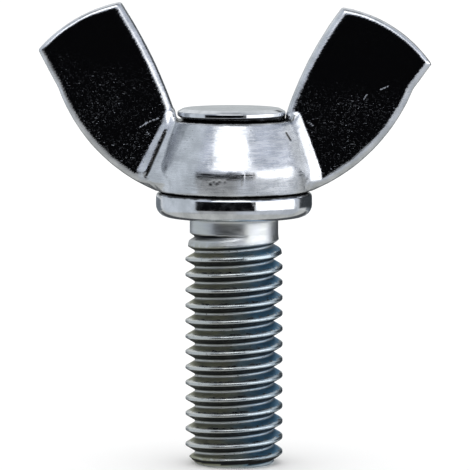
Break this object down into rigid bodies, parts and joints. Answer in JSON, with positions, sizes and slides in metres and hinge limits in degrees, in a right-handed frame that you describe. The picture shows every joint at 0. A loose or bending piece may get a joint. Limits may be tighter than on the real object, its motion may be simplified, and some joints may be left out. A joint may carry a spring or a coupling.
{
  "type": "wing screw",
  "caption": "Thumb-turned wing screw: a forged two-wing head riveted on a collared stud with a right-hand machine thread.",
  "frame": {"origin": "on the screw's axis, in the plane of the collar's underside, which bears on the work", "axes": "+Z along the screw's axis, up to the wings; X along the span of the wings, with the slightly taller wing at -X; -Y is the front"},
  "size_m": [0.0315, 0.0126, 0.0372],
  "materials": {
    "zinc_head": "bright zinc plate over forged steel, mirror-smooth wing faces with fine handling scratches, duller sheared rims",
    "zinc_stud": "bright zinc plate with a faint blue passivation, rolled thread"
  },
  "bodies": {
    "root": {"wing_head": "zinc_head", "threaded_stud": "zinc_stud"}
  },
  "joints": []
}
